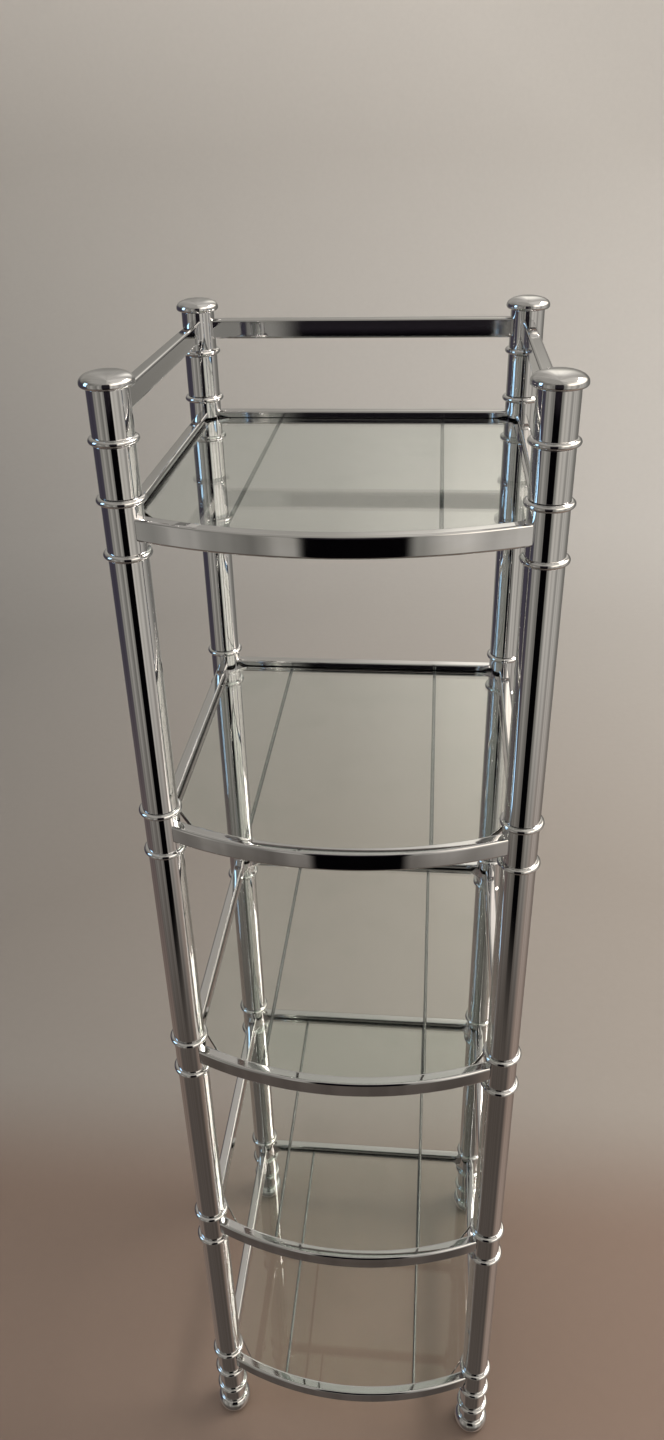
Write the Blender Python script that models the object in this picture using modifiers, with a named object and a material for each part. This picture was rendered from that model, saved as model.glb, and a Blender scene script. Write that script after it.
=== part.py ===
"""Glass shelving unit: five glass panes in chromed frames, carried on four screwed-together posts.

Metres, +Z up, front towards -Y. The origin is on the floor, under the middle of the unit's box.
"""

import math

import bmesh
import bpy

# Plan
POST_SPACING_X = 0.280
POST_SPACING_Y = 0.280
FRONT_BOW = 0.032

# Heights along a post
TIER_COUNT = 5
TIER_PITCH = 0.250
FOOT_HEIGHT = 0.0735
HUB_LENGTH = 0.043
NECK_LENGTH = 0.034
GALLERY_HUB_LENGTH = 0.0355
GALLERY_RAIL_RISE = 0.021

# Post tubes and the plugs welded into their ends
TUBE_RADIUS = 0.014
TUBE_WALL = 0.0012
PLUG_DEPTH = 0.012

# Beads round the ends of the hubs
BEAD_PROUD = 0.003
BEAD_HEIGHT = 0.005

# Finial caps
CAP_OVERHANG = 0.004
CAP_RIM_DROP = 0.0023
CAP_DOME_HEIGHT = 0.0075

# Feet
FOOT_BEAD_RISE = 0.042
BUN_PROUD = 0.0043
BUN_RISE = 0.0105
BUN_SHOULDER = 0.0085
PAD_RADIUS = 0.012

# Rails and the wires under the glass
RAIL_WIDTH = 0.010
RAIL_HEIGHT = 0.016
RAIL_CORNER = 0.0015
WIRE_RADIUS = 0.0016
WIRE_OFFSET = 0.072
WIRE_DROP = 0.005

# Glass panes
GLASS_THICKNESS = 0.005
GLASS_EDGE_GAP = 0.0015
GLASS_BEAD_GAP = 0.0025
FRONT_CLIP_ANGLE = math.radians(35)
BACK_CLIP_ANGLE = math.radians(45)

# Threaded studs, drawn at their outer diameter
STUD_RADIUS = 0.004
STUD_CLEARANCE = 0.0003
STUD_ENGAGEMENT = 0.010

# Gaps between pieces that touch, and between two stud ends in one bore
JOINT_GAP = 0.0003
STUD_END_GAP = 0.002

# Facets
TURN_STEPS = 12
STUD_STEPS = 8
BEAD_STEPS = 3
DOME_STEPS = 4
BUN_STEPS = 3
BOW_STEPS = 10
CORNER_STEPS = 1
WIRE_RESOLUTION = 2
SMOOTH_ANGLE = math.radians(40)
MERGE_DISTANCE = 1e-6

# Derived sizes
BORE_RADIUS = STUD_RADIUS + STUD_CLEARANCE
BEAD_RADIUS = TUBE_RADIUS + BEAD_PROUD
RAIL_SEAT = (BORE_RADIUS + TUBE_RADIUS) / 2
HALF_X = POST_SPACING_X / 2
HALF_Y = POST_SPACING_Y / 2
BOW_RADIUS = (HALF_X**2 + FRONT_BOW**2) / (2 * FRONT_BOW)
BOW_CENTRE_Y = BOW_RADIUS - FRONT_BOW - HALF_Y
FIRST_TIER_Z = FOOT_HEIGHT + JOINT_GAP + HUB_LENGTH / 2
TOP_TIER_Z = FIRST_TIER_Z + (TIER_COUNT - 1) * TIER_PITCH
NECK_Z = TOP_TIER_Z + HUB_LENGTH / 2 + JOINT_GAP
GALLERY_Z = NECK_Z + NECK_LENGTH + JOINT_GAP
CAP_Z = GALLERY_Z + GALLERY_HUB_LENGTH + JOINT_GAP
POST_TUBE_LENGTH = TIER_PITCH - HUB_LENGTH - 2 * JOINT_GAP
NECK_ENGAGEMENT = min(STUD_ENGAGEMENT, (NECK_LENGTH - STUD_END_GAP) / 2)
GLASS_RISE = -WIRE_DROP + WIRE_RADIUS + JOINT_GAP
FRONT_REACH = HALF_Y + FRONT_BOW + RAIL_WIDTH / 2
BACK_REACH = HALF_Y + TUBE_RADIUS + max(BUN_PROUD, CAP_OVERHANG)
POSTS_MIDDLE_Y = (FRONT_REACH - BACK_REACH) / 2

CORNERS = {
    "front_left": (-1, -1),
    "front_right": (1, -1),
    "back_left": (-1, 1),
    "back_right": (1, 1),
}


def clear_scene():
    """Remove every object of the startup scene."""
    for obj in list(bpy.data.objects):
        bpy.data.objects.remove(obj, do_unlink=True)


def new_collection(name):
    """Collection linked to the scene."""
    collection = bpy.data.collections.new(name)
    bpy.context.scene.collection.children.link(collection)
    return collection


def new_material(name, colour, metallic, roughness, transmission=0.0):
    """Principled material of one even finish."""
    material = bpy.data.materials.new(name)
    material.use_nodes = True
    shader = material.node_tree.nodes["Principled BSDF"]
    shader.inputs["Base Color"].default_value = (*colour, 1.0)
    shader.inputs["Metallic"].default_value = metallic
    shader.inputs["Roughness"].default_value = roughness
    shader.inputs["Transmission Weight"].default_value = transmission
    return material


def place(name, mesh, material, location, parent, collection):
    """Object of a mesh that other objects may share, set down in the unit."""
    obj = bpy.data.objects.new(name, mesh)
    obj.location = location
    obj.parent = parent
    collection.objects.link(obj)
    if not mesh.materials:
        mesh.materials.append(material)
    return obj


def arc(centre, radii, start, end, steps):
    """Points along an elliptical arc in a plane, from one angle to another."""
    angles = [start + (end - start) * i / steps for i in range(steps + 1)]
    return [(centre[0] + radii[0] * math.cos(a), centre[1] + radii[1] * math.sin(a)) for a in angles]


def bead(centre_z):
    """Outline of a half-round bead on a post, top to bottom."""
    size = (BEAD_PROUD, BEAD_HEIGHT / 2)
    return arc((TUBE_RADIUS, centre_z), size, math.pi / 2, -math.pi / 2, BEAD_STEPS)


def finished_mesh(obj):
    """Mesh of a helper object with its modifiers applied; the helper is removed."""
    graph = bpy.context.evaluated_depsgraph_get()
    graph.update()
    mesh = bpy.data.meshes.new_from_object(obj.evaluated_get(graph))
    name = obj.name
    bpy.data.objects.remove(obj, do_unlink=True)
    work = bmesh.new()
    work.from_mesh(mesh)
    bmesh.ops.remove_doubles(work, verts=work.verts, dist=MERGE_DISTANCE)
    work.to_mesh(mesh)
    work.free()
    mesh.name = name
    mesh.shade_smooth()
    mesh.set_sharp_from_angle(angle=SMOOTH_ANGLE)
    return mesh


def turned(name, outline, helpers, is_ring):
    """Mesh of an outline of (radius, height) points turned about Z; a ring's outline is a closed loop."""
    edges = [(i, i + 1) for i in range(len(outline) - 1)]
    if is_ring:
        edges.append((len(outline) - 1, 0))
    profile = bpy.data.meshes.new(name)
    profile.from_pydata([(radius, 0, height) for radius, height in outline], edges, [])
    obj = bpy.data.objects.new(name, profile)
    helpers.objects.link(obj)
    screw = obj.modifiers.new("turn", "SCREW")
    screw.angle = math.tau
    screw.steps = TURN_STEPS
    screw.render_steps = TURN_STEPS
    screw.use_merge_vertices = True
    screw.merge_threshold = MERGE_DISTANCE
    return finished_mesh(obj)


def rail_section(name, helpers):
    """Closed curve of a rail's rounded cross-section, clockwise so that the rail faces out."""
    x, y = RAIL_WIDTH / 2 - RAIL_CORNER, RAIL_HEIGHT / 2 - RAIL_CORNER
    size = (RAIL_CORNER, RAIL_CORNER)
    outline = []
    for quarter, (side_x, side_y) in enumerate(((1, 1), (-1, 1), (-1, -1), (1, -1))):
        start = quarter * math.pi / 2
        outline += arc((side_x * x, side_y * y), size, start, start + math.pi / 2, CORNER_STEPS)
    curve = bpy.data.curves.new(name, "CURVE")
    spline = curve.splines.new("POLY")
    spline.points.add(len(outline) - 1)
    for point, (u, v) in zip(spline.points, reversed(outline)):
        point.co = (u, v, 0, 1)
    spline.use_cyclic_u = True
    section = bpy.data.objects.new(name, curve)
    section.hide_render = True
    section.display_type = "WIRE"
    helpers.objects.link(section)
    return section


def bar(name, path, helpers, section=None):
    """Helper object of a rail of the given section, or else of a round wire, along a path."""
    curve = bpy.data.curves.new(name, "CURVE")
    curve.dimensions = "3D"
    curve.twist_mode = "Z_UP"
    curve.use_fill_caps = True
    if section:
        curve.bevel_mode = "OBJECT"
        curve.bevel_object = section
    else:
        curve.bevel_depth = WIRE_RADIUS
        curve.bevel_resolution = WIRE_RESOLUTION
    spline = curve.splines.new("POLY")
    spline.points.add(len(path) - 1)
    for point, spot in zip(spline.points, path):
        point.co = (*spot, 1)
    guide = bpy.data.objects.new(name, curve)
    helpers.objects.link(guide)
    return helper(name, finished_mesh(guide), (0, 0, 0), helpers)


def helper(name, mesh, location, helpers):
    """Object that is joined into another and isn't shown by itself."""
    obj = bpy.data.objects.new(name, mesh)
    obj.location = location
    obj.hide_render = True
    obj.display_type = "WIRE"
    helpers.objects.link(obj)
    return obj


def welded(name, pieces):
    """Mesh of helper pieces joined into one solid, in the place of the first."""
    base = pieces[0]
    base.name = name
    for piece in pieces[1:]:
        union = base.modifiers.new(piece.name, "BOOLEAN")
        union.operation = "UNION"
        union.solver = "EXACT"
        union.object = piece
    mesh = finished_mesh(base)
    for piece in pieces[1:]:
        bpy.data.objects.remove(piece, do_unlink=True)
    return mesh


def bow_point(angle, radius):
    """Plan point on the front bow, at an angle from its middle."""
    return radius * math.sin(angle), BOW_CENTRE_Y - radius * math.cos(angle)


def hub_outline():
    """Shelf hub: a bored post length with a bead at each end, middle at height 0."""
    end = HUB_LENGTH / 2
    beads = bead(end - BEAD_HEIGHT / 2) + bead(-end + BEAD_HEIGHT / 2)
    return [(BORE_RADIUS, end), *beads, (BORE_RADIUS, -end)]


def gallery_hub_outline():
    """Gallery hub: a bored post length with a bead at its lower end, which is at height 0."""
    top = GALLERY_HUB_LENGTH
    return [(BORE_RADIUS, top), (TUBE_RADIUS, top), *bead(BEAD_HEIGHT / 2), (BORE_RADIUS, 0)]


def post_tube_outline():
    """Long post length: a thin tube with a bored plug in each end, lower end at height 0."""
    inside = TUBE_RADIUS - TUBE_WALL
    top = POST_TUBE_LENGTH
    return [
        (BORE_RADIUS, top),
        (TUBE_RADIUS, top),
        (TUBE_RADIUS, 0),
        (BORE_RADIUS, 0),
        (BORE_RADIUS, PLUG_DEPTH),
        (inside, PLUG_DEPTH),
        (inside, top - PLUG_DEPTH),
        (BORE_RADIUS, top - PLUG_DEPTH),
    ]


def neck_tube_outline():
    """Short post length under the gallery, bored through, lower end at height 0."""
    top = NECK_LENGTH
    return [(BORE_RADIUS, top), (TUBE_RADIUS, top), (TUBE_RADIUS, 0), (BORE_RADIUS, 0)]


def cap_outline():
    """Finial: a domed button with a rounded rim on a threaded shank, underside at height 0."""
    rim = TUBE_RADIUS + CAP_OVERHANG
    dome = arc((0, CAP_RIM_DROP), (rim, CAP_DOME_HEIGHT), math.pi / 2, 0, DOME_STEPS)
    shank_end = -GALLERY_HUB_LENGTH - 2 * JOINT_GAP - NECK_ENGAGEMENT
    return [*dome, (TUBE_RADIUS, 0), (STUD_RADIUS, 0), (STUD_RADIUS, shank_end), (0, shank_end)]


def foot_outline():
    """Foot: a hollow neck with a bead over a flattened bun, with a tapped top, underside at height 0."""
    inside = TUBE_RADIUS - TUBE_WALL
    floor = BUN_RISE + BUN_SHOULDER
    bun_size = (TUBE_RADIUS + BUN_PROUD - PAD_RADIUS, BUN_RISE)
    shoulder_size = (BUN_PROUD, BUN_SHOULDER)
    shoulder = arc((TUBE_RADIUS, BUN_RISE), shoulder_size, math.pi / 2, 0, BUN_STEPS)
    bun = arc((PAD_RADIUS, BUN_RISE), bun_size, 0, -math.pi / 2, BUN_STEPS)
    return [
        (0, floor),
        (inside, floor),
        (inside, FOOT_HEIGHT - PLUG_DEPTH),
        (BORE_RADIUS, FOOT_HEIGHT - PLUG_DEPTH),
        (BORE_RADIUS, FOOT_HEIGHT),
        (TUBE_RADIUS, FOOT_HEIGHT),
        *bead(FOOT_BEAD_RISE),
        *shoulder,
        *bun[1:],
        (0, 0),
    ]


def straight_rails(z, helpers):
    """Back rail and two side rails between the posts, as joined-in helpers."""
    section = rail_section("rail_section", helpers)
    reach_x, reach_y = HALF_X - RAIL_SEAT, HALF_Y - RAIL_SEAT
    rails = [bar("back_rail", [(-reach_x, HALF_Y, z), (reach_x, HALF_Y, z)], helpers, section)]
    for side, name in ((-1, "left_rail"), (1, "right_rail")):
        path = [(side * HALF_X, -reach_y, z), (side * HALF_X, reach_y, z)]
        rails.append(bar(name, path, helpers, section))
    bpy.data.objects.remove(section, do_unlink=True)
    return rails


def front_rail(helpers):
    """Bowed front rail, whose ends run into the front hubs."""
    section = rail_section("rail_section", helpers)
    end = math.asin(HALF_X / BOW_RADIUS) - RAIL_SEAT / BOW_RADIUS
    angles = [end * (2 * i / BOW_STEPS - 1) for i in range(BOW_STEPS + 1)]
    rail = bar("front_rail", [(*bow_point(a, BOW_RADIUS), 0) for a in angles], helpers, section)
    bpy.data.objects.remove(section, do_unlink=True)
    return rail


def glass_wires(helpers):
    """Two wires from the back rail to the front rail, which carry the glass."""
    front_y = bow_point(math.asin(WIRE_OFFSET / BOW_RADIUS), BOW_RADIUS)[1]
    wires = []
    for side, name in ((-1, "left_wire"), (1, "right_wire")):
        x = side * WIRE_OFFSET
        wires.append(bar(name, [(x, front_y, -WIRE_DROP), (x, HALF_Y, -WIRE_DROP)], helpers))
    return wires


def hubs(outline, helpers):
    """A turned hub at each post, as joined-in helpers that share one mesh."""
    mesh = turned("hub", outline, helpers, is_ring=True)
    places = [(x * HALF_X, y * HALF_Y, 0) for x, y in CORNERS.values()]
    return [helper("hub", mesh, location, helpers) for location in places]


def shelf_frame_mesh(helpers):
    """Shelf frame: four hubs, a bowed front rail, three straight rails and two wires welded together."""
    rails = straight_rails(0, helpers)
    pieces = rails + [front_rail(helpers)] + glass_wires(helpers) + hubs(hub_outline(), helpers)
    return welded("shelf_frame", pieces)


def gallery_frame_mesh(helpers):
    """Gallery frame: four hubs and three straight rails welded together."""
    rails = straight_rails(GALLERY_RAIL_RISE, helpers)
    return welded("gallery_frame", rails + hubs(gallery_hub_outline(), helpers))


def glass_mesh():
    """Glass pane inside a shelf frame, bowed at the front, with its corners clipped round the posts."""
    inset = RAIL_WIDTH / 2 + GLASS_EDGE_GAP
    side_x, back_y = HALF_X - inset, HALF_Y - inset
    radius = BOW_RADIUS - inset
    end = math.asin(side_x / radius)
    angles = [end * (2 * i / BOW_STEPS - 1) for i in range(BOW_STEPS + 1)]
    outline = [bow_point(a, radius) for a in angles] + [(side_x, back_y), (-side_x, back_y)]
    work = bmesh.new()
    work.faces.new([work.verts.new((x, y, 0)) for x, y in outline])
    for x, y in CORNERS.values():
        angle = FRONT_CLIP_ANGLE if y < 0 else BACK_CLIP_ANGLE
        outward = (x * math.cos(angle), y * math.sin(angle), 0)
        keep_off = BEAD_RADIUS + GLASS_BEAD_GAP
        on_cut = (x * HALF_X - keep_off * outward[0], y * HALF_Y - keep_off * outward[1], 0)
        bmesh.ops.bisect_plane(
            work,
            geom=work.verts[:] + work.edges[:] + work.faces[:],
            plane_co=on_cut,
            plane_no=outward,
            clear_outer=True,
        )
    pane = bmesh.ops.extrude_face_region(work, geom=work.faces[:])
    lifted = [item for item in pane["geom"] if isinstance(item, bmesh.types.BMVert)]
    bmesh.ops.translate(work, verts=lifted, vec=(0, 0, GLASS_THICKNESS))
    bmesh.ops.recalc_face_normals(work, faces=work.faces)
    mesh = bpy.data.meshes.new("glass_shelf")
    work.to_mesh(mesh)
    work.free()
    return mesh


def stud_mesh(length):
    """Plain round stud along Z, lower end at height 0."""
    work = bmesh.new()
    bmesh.ops.create_cone(
        work, cap_ends=True, segments=STUD_STEPS, radius1=STUD_RADIUS, radius2=STUD_RADIUS, depth=length
    )
    bmesh.ops.translate(work, verts=work.verts, vec=(0, 0, length / 2))
    mesh = bpy.data.meshes.new("stud")
    work.to_mesh(mesh)
    work.free()
    return mesh


def build():
    """Build every piece of the unit."""
    clear_scene()
    unit = new_collection("glass_shelving_unit")
    helpers = new_collection("cutters")
    chrome = new_material("chrome_plate", (0.78, 0.78, 0.79), 1.0, 0.07)
    steel = new_material("zinc_plated_steel", (0.55, 0.55, 0.56), 1.0, 0.35)
    glass = new_material("clear_glass", (0.86, 0.93, 0.90), 0.0, 0.02, transmission=1.0)
    root = bpy.data.objects.new("shelving_unit", None)
    root.location.y = POSTS_MIDDLE_Y
    unit.objects.link(root)

    frame = shelf_frame_mesh(helpers)
    pane = glass_mesh()
    post_tube = turned("post_tube", post_tube_outline(), helpers, is_ring=True)
    neck_tube = turned("neck_tube", neck_tube_outline(), helpers, is_ring=True)
    cap = turned("finial_cap", cap_outline(), helpers, is_ring=False)
    foot = turned("foot", foot_outline(), helpers, is_ring=False)
    through_hub = HUB_LENGTH + 2 * JOINT_GAP + STUD_ENGAGEMENT
    stud = stud_mesh(through_hub + STUD_ENGAGEMENT)
    top_stud = stud_mesh(through_hub + NECK_ENGAGEMENT)
    stud_drop = HUB_LENGTH / 2 + JOINT_GAP + STUD_ENGAGEMENT

    place("gallery_frame", gallery_frame_mesh(helpers), chrome, (0, 0, GALLERY_Z), root, unit)
    for tier in range(TIER_COUNT):
        z = FIRST_TIER_Z + tier * TIER_PITCH
        place(f"shelf_frame_{tier + 1}", frame, chrome, (0, 0, z), root, unit)
        place(f"glass_shelf_{tier + 1}", pane, glass, (0, 0, z + GLASS_RISE), root, unit)
    for corner, (side_x, side_y) in CORNERS.items():
        x, y = side_x * HALF_X, side_y * HALF_Y
        place(f"foot_{corner}", foot, chrome, (x, y, 0), root, unit)
        place(f"neck_tube_{corner}", neck_tube, chrome, (x, y, NECK_Z), root, unit)
        place(f"finial_cap_{corner}", cap, chrome, (x, y, CAP_Z), root, unit)
        for tier in range(TIER_COUNT):
            z = FIRST_TIER_Z + tier * TIER_PITCH
            is_top = tier == TIER_COUNT - 1
            rod = top_stud if is_top else stud
            place(f"stud_{tier + 1}_{corner}", rod, steel, (x, y, z - stud_drop), root, unit)
            if not is_top:
                tube_z = z + HUB_LENGTH / 2 + JOINT_GAP
                place(f"post_tube_{tier + 1}_{corner}", post_tube, chrome, (x, y, tube_z), root, unit)


build()
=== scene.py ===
"""Looks of the glass shelving unit: polished chrome posts and frames, clear glass panes, a plain studio."""

import logging
import math
from collections.abc import Sequence
from dataclasses import dataclass
from enum import Enum

import bmesh
import bpy
from mathutils import Matrix, Vector

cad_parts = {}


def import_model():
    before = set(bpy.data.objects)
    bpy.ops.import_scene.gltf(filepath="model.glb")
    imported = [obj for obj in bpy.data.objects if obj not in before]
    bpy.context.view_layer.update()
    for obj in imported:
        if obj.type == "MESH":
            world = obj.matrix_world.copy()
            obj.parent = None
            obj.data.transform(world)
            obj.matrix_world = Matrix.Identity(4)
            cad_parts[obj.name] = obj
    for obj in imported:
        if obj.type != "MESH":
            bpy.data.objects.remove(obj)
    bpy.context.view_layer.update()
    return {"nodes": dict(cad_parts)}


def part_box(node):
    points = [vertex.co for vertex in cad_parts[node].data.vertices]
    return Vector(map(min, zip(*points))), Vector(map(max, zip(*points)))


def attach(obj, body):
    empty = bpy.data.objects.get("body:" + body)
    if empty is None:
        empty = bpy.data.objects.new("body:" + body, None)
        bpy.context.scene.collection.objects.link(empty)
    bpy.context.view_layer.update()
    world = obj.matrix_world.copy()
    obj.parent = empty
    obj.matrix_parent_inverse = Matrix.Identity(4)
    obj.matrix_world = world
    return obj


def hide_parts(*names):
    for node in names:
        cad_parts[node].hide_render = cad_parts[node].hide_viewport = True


LOG = logging.getLogger("glass_shelving_unit")

FRAME_BODY = "frame"
TIERS = (1, 2, 3, 4, 5)
MILLIMETRE = 0.001
FULL_TURN = 360.0

# The sRGB curve: a straight foot up to its knee, a power above it
SRGB_FULL = 255
SRGB_KNEE = 0.04045
SRGB_FOOT = 12.92
SRGB_OFFSET = 0.055
SRGB_POWER = 2.4

# How finely the round shapes are cut
TURN_STEPS = 96
WIRE_STEPS = 24
BOW_STEPS = 72
ROUND_STEPS = 14
CORNER_STEPS = 6
WELD_DISTANCE = 1e-6
SMOOTH_ANGLE = math.radians(32)

# Upright share of a face's normal above which the face counts as level
LEVEL_SHARE = 0.5

# Sockets of a Mix node that blends colours, whose names other sockets of it have too
MIX_SHARE = 0
MIX_FROM = 6
MIX_TO = 7
MIX_COLOUR = 2

Point = tuple[float, float]
Place = tuple[float, float, float]


class Corner(Enum):
    """The four posts, by the corner that each stands in."""

    FRONT_LEFT = "front_left"
    FRONT_RIGHT = "front_right"
    BACK_LEFT = "back_left"
    BACK_RIGHT = "back_right"

    @property
    def side(self) -> int:
        """-1 on the left, 1 on the right."""
        return -1 if self.value.endswith("left") else 1

    @property
    def depth(self) -> int:
        """-1 at the front, 1 at the back."""
        return -1 if self.value.startswith("front") else 1


class PolishLay(Enum):
    """The way that the polishing lines of a chromed piece run, as the axis that they follow."""

    ALONG_X = 0
    ALONG_Y = 1
    UPRIGHT = 2


def linear_colour(shade: str) -> tuple[float, float, float, float]:
    """Linear colour of an sRGB hex value.

    Args:
        shade: the colour as "#rrggbb".

    Returns:
        Red, green, blue and an alpha of 1.
    """
    channels = [int(shade[i : i + 2], 16) / SRGB_FULL for i in (1, 3, 5)]
    red, green, blue = (
        c / SRGB_FOOT if c <= SRGB_KNEE else ((c + SRGB_OFFSET) / (1 + SRGB_OFFSET)) ** SRGB_POWER
        for c in channels
    )
    return red, green, blue, 1.0


def per_metre(size_mm: float) -> float:
    """Texture scale of a pattern whose marks are this many millimetres wide."""
    return 1.0 / (size_mm * MILLIMETRE)


def add_node(
    tree: bpy.types.NodeTree, kind: str, sockets: dict[str | int, object] | None = None, **settings: object
) -> bpy.types.Node:
    """Add a node with its settings, values and links.

    Args:
        tree: the node tree that takes the node.
        kind: the node's type.
        sockets: what each input gets, a value or another node's output.
        settings: the node's own attributes.

    Returns:
        The new node.
    """
    node = tree.nodes.new(kind)
    for name, value in settings.items():
        setattr(node, name, value)
    for socket, value in (sockets or {}).items():
        if isinstance(value, bpy.types.NodeSocket):
            tree.links.new(value, node.inputs[socket])
        else:
            node.inputs[socket].default_value = value
    return node


class Finish:
    """Base of the finishes: gives each its material, made once."""

    slot: str

    @property
    def name(self) -> str:
        """Name of the material."""
        raise NotImplementedError

    def draw(self, tree: bpy.types.NodeTree) -> None:
        """Draw the finish's nodes into an empty tree."""
        raise NotImplementedError

    def material(self) -> bpy.types.Material:
        """The finish's material.

        Returns:
            The material, made on the first call and found again on later ones.
        """
        if self.name in bpy.data.materials:
            return bpy.data.materials[self.name]
        material = bpy.data.materials.new(self.name)
        material.use_nodes = True
        material.node_tree.nodes.clear()
        self.draw(material.node_tree)
        return material


@dataclass(frozen=True)
class ChromePlate(Finish):
    """Bright chrome over polished steel: a mirror with fine polishing lines and a little wiping haze.

    Attributes:
        lay: the way that the polishing lines run.
        slot: the record's material slot; not used.
        clean: colour of the clean plate, a touch cold.
        hazed: colour under a wiping mark.
        roughness: blur of the clean mirror.
        haze: blur that a wiping mark adds.
        haze_mm: width of a wiping mark.
        haze_detail: how ragged a wiping mark is.
        haze_span: values of the noise between which a wiping mark goes from none to full.
        line_mm: spacing of the polishing lines, drawn coarser than real ones so that they show.
        line_detail: how ragged the lines are.
        line_stretch: how many times longer than wide the lines are.
        line_depth_mm: how deep the lines ripple the mirror.
    """

    lay: PolishLay
    slot: str = "chrome_plate"
    clean: str = "#dcdcde"
    hazed: str = "#cfcecb"
    roughness: float = 0.03
    haze: float = 0.06
    haze_mm: float = 22.0
    haze_detail: float = 5.0
    haze_span: tuple[float, float] = (0.45, 0.8)
    line_mm: float = 3.5
    line_detail: float = 2.0
    line_stretch: float = 18.0
    line_depth_mm: float = 0.0015

    @property
    def name(self) -> str:
        """Name of the material."""
        return f"chrome_plate_polished_{self.lay.name.lower()}"

    def draw(self, tree: bpy.types.NodeTree) -> None:
        """Draw the mirror, its ripple and its haze.

        Args:
            tree: the material's empty node tree.
        """
        stretch = [1.0, 1.0, 1.0]
        stretch[self.lay.value] = 1.0 / self.line_stretch
        place = add_node(tree, "ShaderNodeTexCoord").outputs["Object"]
        along = add_node(tree, "ShaderNodeMapping", {"Vector": place, "Scale": stretch}).outputs["Vector"]
        lines = add_node(
            tree,
            "ShaderNodeTexNoise",
            {"Vector": along, "Scale": per_metre(self.line_mm), "Detail": self.line_detail},
        )
        ripple = add_node(
            tree,
            "ShaderNodeBump",
            {"Height": lines.outputs["Fac"], "Distance": self.line_depth_mm * MILLIMETRE, "Strength": 1.0},
        )
        wiping = add_node(
            tree,
            "ShaderNodeTexNoise",
            {"Vector": along, "Scale": per_metre(self.haze_mm), "Detail": self.haze_detail},
        )
        mark = add_node(
            tree,
            "ShaderNodeMapRange",
            {"Value": wiping.outputs["Fac"], "From Min": self.haze_span[0], "From Max": self.haze_span[1]},
        ).outputs["Result"]
        blur = add_node(
            tree,
            "ShaderNodeMapRange",
            {"Value": mark, "To Min": self.roughness, "To Max": self.roughness + self.haze},
        )
        colour = add_node(
            tree,
            "ShaderNodeMix",
            {MIX_SHARE: mark, MIX_FROM: linear_colour(self.clean), MIX_TO: linear_colour(self.hazed)},
            data_type="RGBA",
        )
        plate = add_node(
            tree,
            "ShaderNodeBsdfPrincipled",
            {
                "Base Color": colour.outputs[MIX_COLOUR],
                "Metallic": 1.0,
                "Roughness": blur.outputs["Result"],
                "Normal": ripple.outputs["Normal"],
            },
        )
        add_node(tree, "ShaderNodeOutputMaterial", {"Surface": plate.outputs["BSDF"]})


@dataclass(frozen=True)
class DrawnWireWithPaintedShade(ChromePlate):
    """Thin chrome over drawn steel wire: greyer and more blurred than polished rails, lined lengthwise. Its
    grey is partly a duller plate and partly painted shade, for the shaded room that the wires mirror.
    """

    # Painted shade: these colours are darker than the polished plate's, partly for a duller plate and partly
    # standing in for the shaded room that the wires mirror
    clean: str = "#9c9c9d"
    hazed: str = "#8d8c8a"
    roughness: float = 0.12

    @property
    def name(self) -> str:
        """Name of the material."""
        return "chrome_plate_drawn_wire_painted_shade"


@dataclass(frozen=True)
class FloatGlass(Finish):
    """Clear float glass with polished edges: see-through on the flat, green where light runs along the pane.

    Attributes:
        slot: the record's material slot; not used.
        clean: tint of the clean surface.
        smeared: tint under a wiping smear.
        ior: index of refraction.
        deep: colour that a long way through the glass turns to.
        density: how fast it turns, per metre.
        smear: blur of the faint wiping smears.
        smear_mm: width of a smear.
        smear_detail: how ragged a smear is.
        smear_span: values of the noise between which a smear goes from none to full.
    """

    slot: str = "clear_glass"
    clean: str = "#f9fcfa"
    smeared: str = "#f1f6f3"
    ior: float = 1.52
    deep: str = "#8fd6b8"
    density: float = 7.0
    smear: float = 0.03
    smear_mm: float = 45.0
    smear_detail: float = 4.0
    smear_span: tuple[float, float] = (0.5, 0.85)

    @property
    def name(self) -> str:
        """Name of the material."""
        return "float_glass_polished_edge"

    def draw(self, tree: bpy.types.NodeTree) -> None:
        """Draw the clear surface, its smears and the green depth.

        Args:
            tree: the material's empty node tree.
        """
        place = add_node(tree, "ShaderNodeTexCoord").outputs["Object"]
        smears = add_node(
            tree,
            "ShaderNodeTexNoise",
            {"Vector": place, "Scale": per_metre(self.smear_mm), "Detail": self.smear_detail},
        )
        mark = add_node(
            tree,
            "ShaderNodeMapRange",
            {"Value": smears.outputs["Fac"], "From Min": self.smear_span[0], "From Max": self.smear_span[1]},
        ).outputs["Result"]
        blur = add_node(tree, "ShaderNodeMapRange", {"Value": mark, "To Max": self.smear})
        colour = add_node(
            tree,
            "ShaderNodeMix",
            {MIX_SHARE: mark, MIX_FROM: linear_colour(self.clean), MIX_TO: linear_colour(self.smeared)},
            data_type="RGBA",
        )
        pane = add_node(
            tree,
            "ShaderNodeBsdfPrincipled",
            {
                "Base Color": colour.outputs[MIX_COLOUR],
                "Roughness": blur.outputs["Result"],
                "IOR": self.ior,
                "Transmission Weight": 1.0,
            },
        )
        depth = add_node(
            tree, "ShaderNodeVolumeAbsorption", {"Color": linear_colour(self.deep), "Density": self.density}
        )
        add_node(
            tree,
            "ShaderNodeOutputMaterial",
            {"Surface": pane.outputs["BSDF"], "Volume": depth.outputs["Volume"]},
        )


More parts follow.
